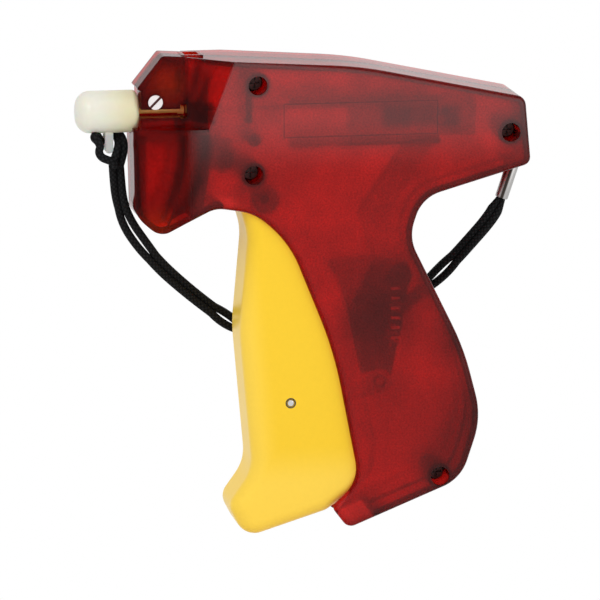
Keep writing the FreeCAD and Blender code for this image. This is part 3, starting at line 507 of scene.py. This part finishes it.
def yellow_trigger():
    """Glossy yellow plastic, with a painted highlight that makes it a shade paler towards its front and its
    lower end.
    """
    material, tree, shader = new_material("yellow_trigger_plastic", {
        "Roughness": 0.3, "IOR": 1.3, "Specular IOR Level": 0.3,
    })
    x, _, z = place_of(tree)
    across = worked(tree, "SUBTRACT", x, worked(tree, "MULTIPLY", z, TRIGGER_LEAN))
    painted_highlight = either(tree, falling(tree, across, *TRIGGER_FRONT), rising(tree, z, *TRIGGER_FOOT))
    finish_surface(tree, shader, mixed(tree, painted_highlight, TRIGGER_YELLOW, TRIGGER_HIGHLIGHT), *TRIGGER_FINISH)
    return material


def plain(name, colour, roughness, metallic=0.0):
    """One colour with a fine grain."""
    material, tree, shader = new_material(name, {"Roughness": roughness, "Metallic": metallic})
    finish_surface(tree, shader, colour, *PLAIN_FINISH)
    return material


def lever_plastic():
    """Dark plastic on the lever's lower arm, which lightens to its upper arm and its front edge."""
    material, tree, shader = new_material("dark_lever_plastic", {"Roughness": 0.5})
    x, _, z = place_of(tree)
    up = worked(tree, "SUBTRACT", z, LEVER_FRONT_HEIGHT)
    across = worked(tree, "SUBTRACT", x, worked(tree, "MULTIPLY", up, LEVER_FRONT_LEAN))
    light = either(tree, rising(tree, z, *LEVER_ARM), falling(tree, across, *LEVER_FRONT))
    finish_surface(tree, shader, mixed(tree, light, LEVER_DARK, LEVER_LIGHT), *PLAIN_FINISH)
    return material


def lock_metal():
    """Pale plated steel with painted shade in its driver slot, which lies deeper than the disc's face."""
    material, tree, shader = new_material("zinc_plated_lock_screw", {"Roughness": 0.42, "Metallic": 0.6})
    _, y, _ = place_of(tree)
    start, end = (LOCK_FACE - step for step in LOCK_EDGE)
    face = rising(tree, worked(tree, "ABSOLUTE", y), start, end)
    finish_surface(tree, shader, mixed(tree, face, LOCK_SLOT_SHADE, LOCK_PLATED), *PLAIN_FINISH)
    return material


def ferrule_metal():
    """Bright metal with a painted dark reflection along its left side."""
    material, tree, shader = new_material("bright_ferrule_metal", {"Roughness": 0.38, "Metallic": 1.0})
    x, y, z = place_of(tree)
    over = worked(tree, "SUBTRACT", x, FERRULE_START.x)
    up = worked(tree, "SUBTRACT", z, FERRULE_START.z)
    across = worked(tree, "SUBTRACT", over, worked(tree, "MULTIPLY", up, math.tan(FERRULE_LEAN)))
    dark_reflection = both(tree, inside(tree, across, *REFLECTION_ACROSS), falling(tree, y, *REFLECTION_SIDE))
    finish_surface(tree, shader, mixed(tree, dark_reflection, FERRULE_METAL, FERRULE_DARK_REFLECTION), *FERRULE_FINISH)
    return material


def milky_cap():
    """Milky plastic, whiter at the front, yellower where it is thinner at the rear, and greyer on its lug."""
    material, tree, shader = new_material("milky_cap_plastic", {
        "Roughness": 0.36, "Transmission Weight": 0.22, "Subsurface Weight": 0.35, "Subsurface Scale": 0.004,
    })
    x, _, z = place_of(tree)
    colour = mixed(tree, rising(tree, x, *CAP_FADE), CAP_WHITE, CAP_YELLOW)
    colour = mixed(tree, rising(tree, z, *LUG_TOP), CAP_LUG, colour)
    finish_surface(tree, shader, colour, *CAP_FINISH)
    return material


def braided_cord():
    """Black braided nylon: two families of crossing yarns on the strand's own UV map."""
    material, tree, shader = new_material("braided_black_nylon", {
        "Roughness": 0.8, "Specular IOR Level": 0.12,
    })
    place = add(tree, "ShaderNodeUVMap", uv_map="braid")
    parts = add(tree, "ShaderNodeSeparateXYZ", {"Vector": place.outputs["UV"]})
    yarns = []
    for kind in ("ADD", "SUBTRACT"):
        lean = worked(tree, kind, parts.outputs["X"], parts.outputs["Y"])
        wave = worked(tree, "SINE", worked(tree, "MULTIPLY", lean, YARNS * math.pi))
        yarns.append(worked(tree, "ABSOLUTE", wave))
    weave = worked(tree, "MULTIPLY", *yarns)
    feed(tree, shader.inputs["Base Color"], mixed(tree, weave, YARN_DARK, YARN_LIGHT))
    relieve(tree, shader, weave, *BRAID_RELIEF, 0.0)
    return material


RED = red_shell()
YELLOW = yellow_trigger()
MILKY = milky_cap()
STEEL = plain("nickel_plated_steel", (0.62, 0.61, 0.60), 0.28, 1.0)
BLACKENED = plain("blackened_screw_steel", (0.045, 0.020, 0.018), 0.34, 0.60)
SPRING = plain("drawn_spring_wire", (0.62, 0.60, 0.58), 0.30, 1.0)
BRASS = plain("brass_coated_needle", (1.0, 0.70, 0.20), 0.50, 0.05)
CHROME = ferrule_metal()
PLATED = lock_metal()
INNER = plain("dark_inner_plastic", (0.30, 0.04, 0.04), 0.5)
SLIDE = plain("grey_slide_plastic", (0.42, 0.30, 0.30), 0.45)
LEVER = lever_plastic()
# Near-black: painted shade round the link pin's ends
PIN_SHADE = plain("painted_shade_ring", (0.035, 0.028, 0.020), 0.6)
CORD = braided_cord()

NODE_MATERIALS = {
    "housing_left": RED, "housing_right": RED, "trigger": YELLOW, "needle_cap": MILKY,
    "needle": BRASS, "needle_collar": BRASS, "return_spring": SPRING, "feed_pawl_spring": SPRING,
    "cord_ferrule": CHROME, "drive_lever": LEVER, "slide_block": SLIDE, "feed_wheel": INNER,
    "cord_hitch": CORD, "wrist_cord": CORD, "case_screws": BLACKENED, "needle_lock_screw": PLATED,
}
for name, node in nodes.items():
    node.data.materials.clear()
    node.data.materials.append(NODE_MATERIALS.get(name, STEEL))


# Cord

def smooth_line(points):
    """Points along the NURBS spline that has the route's points as its control points."""
    curve = bpy.data.curves.new("route", "CURVE")
    curve.dimensions = "3D"
    curve.resolution_u = 24
    spline = curve.splines.new("NURBS")
    spline.points.add(len(points) - 1)
    for i, point in enumerate(points):
        spline.points[i].co = (*point, 1.0)
    spline.order_u = 3
    spline.use_endpoint_u = True
    holder = bpy.data.objects.new("route", curve)
    scene.collection.objects.link(holder)
    bpy.context.view_layer.update()
    mesh = bpy.data.meshes.new_from_object(holder)
    line = [v.co.copy() for v in mesh.vertices]
    bpy.data.objects.remove(holder)
    bpy.data.meshes.remove(mesh)
    return line


def line_frames(line):
    """A tangent and two steady cross directions at each point of a line."""
    frames = []
    side = None
    for i in range(len(line)):
        ahead = line[min(i + 1, len(line) - 1)] - line[max(i - 1, 0)]
        ahead.normalize()
        if side is None:
            side = ahead.cross(Vector((0, 1, 0))).normalized()
        side = (side - ahead * side.dot(ahead)).normalized()
        frames.append((ahead, side, ahead.cross(side)))
    return frames


def tube(name, line, radii, sides=14):
    """A closed mesh tube along a line of points, with a UV map that runs round and along it."""
    mesh = bpy.data.meshes.new(name)
    build = bmesh.new()
    layer = build.loops.layers.uv.new("braid")
    rings = []
    for point, radius, (_, side, other) in zip(line, radii, line_frames(line)):
        ring = []
        for k in range(sides):
            turn = 2 * math.pi * k / sides
            ring.append(build.verts.new(point + (side * math.cos(turn) + other * math.sin(turn)) * radius))
        rings.append(ring)
    way = 0.0
    for i, (a, b) in enumerate(zip(rings, rings[1:])):
        step = (line[i + 1] - line[i]).length / (2 * math.pi * STRAND_RADIUS)
        for k in range(sides):
            face = build.faces.new((a[k], a[(k + 1) % sides], b[(k + 1) % sides], b[k]))
            corners = ((k, way), (k + 1, way), (k + 1, way + step), (k, way + step))
            for loop, (u, v) in zip(face.loops, corners):
                loop[layer].uv = (u / sides, v)
        way += step
    build.faces.new(list(reversed(rings[0])))
    build.faces.new(rings[-1])
    bmesh.ops.recalc_face_normals(build, faces=build.faces)
    build.to_mesh(mesh)
    build.free()
    for face in mesh.polygons:
        face.use_smooth = True
    obj = bpy.data.objects.new(name, mesh)
    scene.collection.objects.link(obj)
    return obj


def pressed(point):
    """The strands' share of their full size, which is less near the ferrule's mouth."""
    away = (point - FERRULE_START).length
    return PRESSED_SHARE + (1.0 - PRESSED_SHARE) * min(1.0, away / PRESSED_REACH)


def strand_spread(point):
    """Half the distance between the strands' middles at a point of the route."""
    spread = STRAND_RADIUS * STRAND_SPREAD * pressed(point)
    for place, reach, gap in CORD_GAPS:
        near = max(0.0, 1.0 - ((point - place).length / reach) ** 2)
        spread += 0.5 * gap * near
    return spread


route = smooth_line(CORD_ROUTE)
radii = [STRAND_RADIUS * pressed(point) for point in route]
for index, sign in enumerate((-1, 1)):
    shifted = []
    for i, (point, (_, side, other)) in enumerate(zip(route, line_frames(route))):
        turn = TWIST * math.sin(TWIST_TURNS * 2 * math.pi * i / len(route))
        across = side * math.cos(turn) + other * math.sin(turn)
        shifted.append(point + across * sign * strand_spread(point))
    strand = tube("cord_strand_" + str(index + 1), shifted, radii)
    strand.data.materials.append(CORD)
    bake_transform(strand)
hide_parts("wrist_cord")

for name, points in (("cord_hitch_loop", HITCH_ROUTE), ("cord_hitch_turn", HITCH_TURN)):
    hitch_line = smooth_line(points)
    hitch = tube(name, hitch_line, [STRAND_RADIUS] * len(hitch_line))
    hitch.data.materials.append(CORD)
    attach(hitch, "cap")
    if name == "cord_hitch_loop":
        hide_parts("cord_hitch")


# Turned metal pieces

def turned_piece(name, stations, sides=40):
    """A ring of edges extruded from height to height, each time to a new radius, and closed at both ends."""
    deselect()
    height, radius = stations[0]
    bpy.ops.mesh.primitive_circle_add(vertices=sides, radius=radius, location=(0, 0, 0))
    piece = bpy.context.object
    piece.name = name
    bpy.ops.object.mode_set(mode="EDIT")
    bpy.ops.mesh.select_all(action="SELECT")
    bpy.ops.transform.translate(value=(0, 0, height))
    for next_height, next_radius in stations[1:]:
        bpy.ops.mesh.extrude_region_move(TRANSFORM_OT_translate={"value": (0, 0, next_height - height)})
        grow = next_radius / radius
        bpy.ops.transform.resize(value=(grow, grow, 1), center_override=(0, 0, next_height))
        height, radius = next_height, next_radius
    bpy.ops.mesh.edge_face_add()
    bpy.ops.mesh.select_all(action="DESELECT")
    bpy.ops.object.mode_set(mode="OBJECT")
    for vertex in piece.data.vertices:
        vertex.select = vertex.index < sides
    bpy.ops.object.mode_set(mode="EDIT")
    bpy.ops.mesh.select_mode(type="VERT")
    bpy.ops.mesh.edge_face_add()
    bpy.ops.mesh.select_all(action="SELECT")
    bpy.ops.mesh.normals_make_consistent(inside=False)
    bpy.ops.object.mode_set(mode="OBJECT")
    bpy.ops.object.shade_smooth_by_angle(angle=SMOOTH_ANGLE)
    return piece


def set_down(piece, place, lean_y=0.0, lean_x=0.0):
    """Turns and moves a piece to its place, and leaves its object at the origin."""
    deselect()
    piece.select_set(True)
    bpy.context.view_layer.objects.active = piece
    piece.rotation_euler = (lean_x, lean_y, 0)
    piece.location = place
    bpy.ops.object.transform_apply(location=True, rotation=True, scale=True)


def finished(piece, body, material):
    """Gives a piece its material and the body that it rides."""
    piece.data.materials.clear()
    piece.data.materials.append(material)
    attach(piece, body)


# The ferrule: a rolled mouth and a plain tube up into the tail
ferrule = turned_piece("ferrule_tube", FERRULE_STATIONS)
set_down(ferrule, FERRULE_START, lean_y=FERRULE_LEAN)
finished(ferrule, "housing", CHROME)
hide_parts("cord_ferrule")

# The link's pin: a domed end, and a dark ring of painted shade round it on each side of the trigger
pin = turned_piece("link_pin_shaft", PIN_STATIONS, PIN_SIDES)
set_down(pin, LINK_PIN, lean_x=math.radians(90))
finished(pin, "trigger", STEEL)
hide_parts("trigger_link_pin")
for side, word in ((-1, "left"), (1, "right")):
    ring = turned_piece("pin_shade_ring_" + word, SHADE_RING_STATIONS, PIN_SIDES)
    set_down(ring, LINK_PIN + Vector((0, side * TRIGGER_HALF, 0)), lean_x=-side * math.radians(90))
    finished(ring, "trigger", PIN_SHADE)


# Stage, light and camera

def seen_mask(tree):
    """1 for a ray from the camera, off a mirror or through the shell, and 0 for one that carries light."""
    path = add(tree, "ShaderNodeLightPath")
    seen = either(tree, path.outputs["Is Camera Ray"], path.outputs["Is Glossy Ray"])
    return either(tree, seen, path.outputs["Is Transmission Ray"])


def white_background(material):
    """Shows plain white wherever the surface is seen, and keeps the surface for the light on it."""
    tree = material.node_tree
    surface = tree.nodes["Principled BSDF"].outputs["BSDF"]
    glow = add(tree, "ShaderNodeEmission", {"Color": WHITE, "Strength": 1.0})
    shown = add(tree, "ShaderNodeMixShader", {
        "Fac": seen_mask(tree), 1: surface, 2: glow.outputs["Emission"],
    })
    feed(tree, tree.nodes["Material Output"].inputs["Surface"], shown.outputs["Shader"])


deselect()
bpy.ops.mesh.primitive_plane_add(size=FLOOR_SIZE, location=(0, 0, FLOOR_HEIGHT))
floor = bpy.context.object
floor.name = "floor"
floor_material = plain("pale_floor", (0.9, 0.9, 0.9), 0.8)
floor.data.materials.append(floor_material)
white_background(floor_material)

world = bpy.data.worlds.new("studio")
world.use_nodes = True
sky_tree = world.node_tree
sky = sky_tree.nodes["Background"]
feed(sky_tree, sky.inputs["Color"], WHITE)
feed(sky_tree, sky.inputs["Strength"], spanned(sky_tree, seen_mask(sky_tree), 0.0, 1.0, *SKY_STRENGTH))
scene.world = world

for name, place, size, power in LAMPS:
    light = bpy.data.lights.new(name, "AREA")
    light.shape = "SQUARE"
    light.size = size
    light.energy = power
    lamp = bpy.data.objects.new(name, light)
    lamp.location = place
    lamp.rotation_euler = (LAMP_AIM - Vector(place)).to_track_quat("-Z", "Y").to_euler()
    scene.collection.objects.link(lamp)

aside, ahead = math.sin(CAMERA_AZIMUTH), math.cos(CAMERA_AZIMUTH)
level = math.cos(CAMERA_ELEVATION)
back = Vector((-aside * level, -ahead * level, math.sin(CAMERA_ELEVATION)))
right = Vector((ahead, -aside, 0))
up = back.cross(right)
place = right * CAMERA_AIM[0] + up * CAMERA_AIM[1] + back * CAMERA_DISTANCE
camera_data = bpy.data.cameras.new("camera")
camera_data.lens = CAMERA_LENS
camera_data.sensor_width = CAMERA_SENSOR
camera = bpy.data.objects.new("camera", camera_data)
camera.matrix_world = Matrix((
    (right.x, up.x, back.x, place.x),
    (right.y, up.y, back.y, place.y),
    (right.z, up.z, back.z, place.z),
    (0, 0, 0, 1)))
scene.collection.objects.link(camera)
scene.camera = camera
scene.view_settings.view_transform = "Standard"
